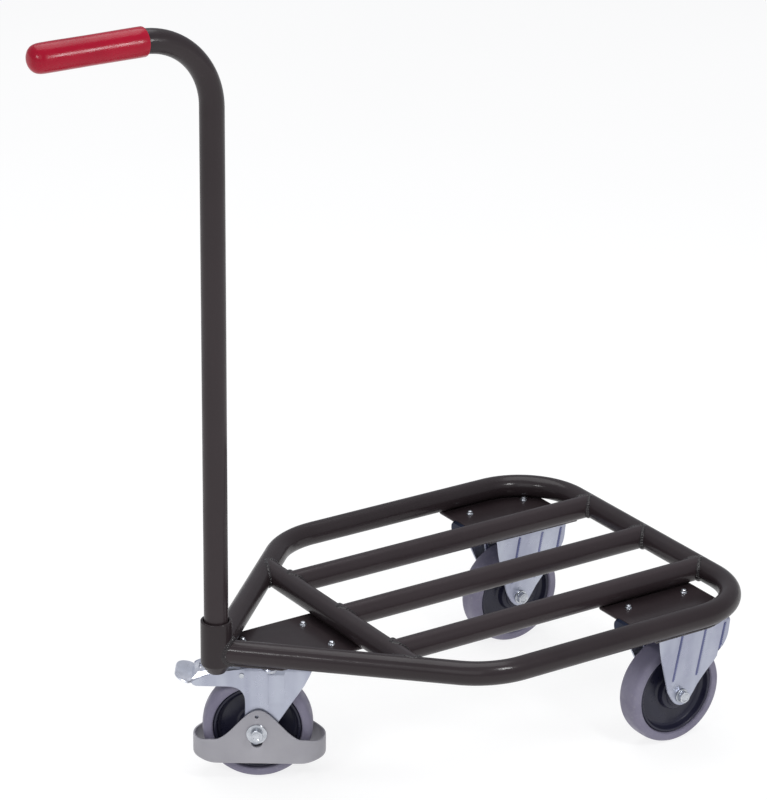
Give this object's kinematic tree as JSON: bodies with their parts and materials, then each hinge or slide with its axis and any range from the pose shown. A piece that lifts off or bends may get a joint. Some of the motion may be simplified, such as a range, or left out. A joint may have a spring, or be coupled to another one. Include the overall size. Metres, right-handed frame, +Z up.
{
  "type": "platform cart",
  "caption": "Small platform cart with a welded tube deck tapering to the front, fixed rear castors, a guarded swivel front castor with a foot brake and a plug-in hooked push handle.",
  "frame": {"origin": "on the floor, under the middle of the cart's bounding box; the handle's post stands 0.196 m in front of it, on the middle plane", "axes": "+Z up, +X towards the rear end with the two fixed castors, +Y towards the cart's left side as seen by someone who looks forwards from the rear"},
  "size_m": [0.8184, 0.4586, 0.9],
  "materials": {
    "frame_coat": "dark warm-grey powder coat, semi-gloss with a fine orange-peel texture",
    "grip": "red soft plastic, satin to gloss",
    "zinc": "bluish zinc-plated pressed steel",
    "steel": "bright zinc-plated steel",
    "rim": "dark blue-grey moulded plastic",
    "tyre": "grey thermoplastic rubber, satin",
    "guard": "mid-grey moulded plastic, satin",
    "shoe": "black rubber"
  },
  "bodies": {
    "frame": {"frame_loop": "frame_coat", "front_cross_tube": "frame_coat", "deck_tube_left": "frame_coat", "deck_tube_middle": "frame_coat", "deck_tube_right": "frame_coat", "handle_socket": "frame_coat", "front_castor_plate": "frame_coat", "rear_left_plate": "frame_coat", "rear_right_plate": "frame_coat", "front_castor_top_plate": "zinc", "front_castor_kingpin": "steel", "front_castor_upper_race": "zinc", "front_castor_bolt_1": "steel", "front_castor_bolt_2": "steel", "front_castor_bolt_3": "steel", "front_castor_bolt_4": "steel", "rear_left_castor_fork": "zinc", "rear_left_castor_axle_sleeve": "steel", "rear_left_castor_axle_bolt": "steel", "rear_left_castor_axle_nut": "steel", "rear_left_castor_bolt_1": "steel", "rear_left_castor_bolt_2": "steel", "rear_left_castor_bolt_3": "steel", "rear_left_castor_bolt_4": "steel", "rear_right_castor_fork": "zinc", "rear_right_castor_axle_sleeve": "steel", "rear_right_castor_axle_bolt": "steel", "rear_right_castor_axle_nut": "steel", "rear_right_castor_bolt_1": "steel", "rear_right_castor_bolt_2": "steel", "rear_right_castor_bolt_3": "steel", "rear_right_castor_bolt_4": "steel"},
    "handle": {"handle_tube": "frame_coat", "handle_grip": "grip"},
    "front_fork": {"front_castor_fork": "zinc", "front_castor_lower_race": "zinc", "front_wheel_guard": "guard", "front_castor_axle_sleeve": "steel", "front_castor_axle_bolt": "steel", "front_castor_axle_nut": "steel", "brake_pivot_pin": "steel", "brake_leaf_spring": "steel"},
    "front_wheel": {"front_castor_rim": "rim", "front_castor_tyre": "tyre", "front_castor_bearing_left": "steel", "front_castor_bearing_right": "steel"},
    "brake": {"brake_lever": "zinc", "brake_shoe": "shoe"},
    "rear_left_wheel": {"rear_left_castor_rim": "rim", "rear_left_castor_tyre": "tyre", "rear_left_castor_bearing_left": "steel", "rear_left_castor_bearing_right": "steel"},
    "rear_right_wheel": {"rear_right_castor_rim": "rim", "rear_right_castor_tyre": "tyre", "rear_right_castor_bearing_left": "steel", "rear_right_castor_bearing_right": "steel"}
  },
  "joints": [
    {"name": "handle_lift", "type": "slide", "parent": "frame", "child": "handle", "axis": [0, 0, 1], "range_m": [0, 0.1]},
    {"name": "front_swivel", "type": "hinge", "parent": "frame", "child": "front_fork", "pos_m": [-0.10417, 0, 0.15], "axis": [0, 0, 1], "continuous": true},
    {"name": "front_wheel_spin", "type": "hinge", "parent": "front_fork", "child": "front_wheel", "pos_m": [-0.13153, 0.01845, 0.0625], "axis": [-0.5592, -0.829, 0], "continuous": true},
    {"name": "brake_pedal", "type": "hinge", "parent": "front_fork", "child": "brake", "pos_m": [-0.14562, 0.02796, 0.133], "axis": [-0.5592, -0.829, 0], "range_deg": [0, 8]},
    {"name": "rear_left_wheel_spin", "type": "hinge", "parent": "frame", "child": "rear_left_wheel", "pos_m": [0.31583, 0.16, 0.0625], "axis": [0, 1, 0], "continuous": true},
    {"name": "rear_right_wheel_spin", "type": "hinge", "parent": "frame", "child": "rear_right_wheel", "pos_m": [0.31583, -0.16, 0.0625], "axis": [0, 1, 0], "continuous": true}
  ]
}
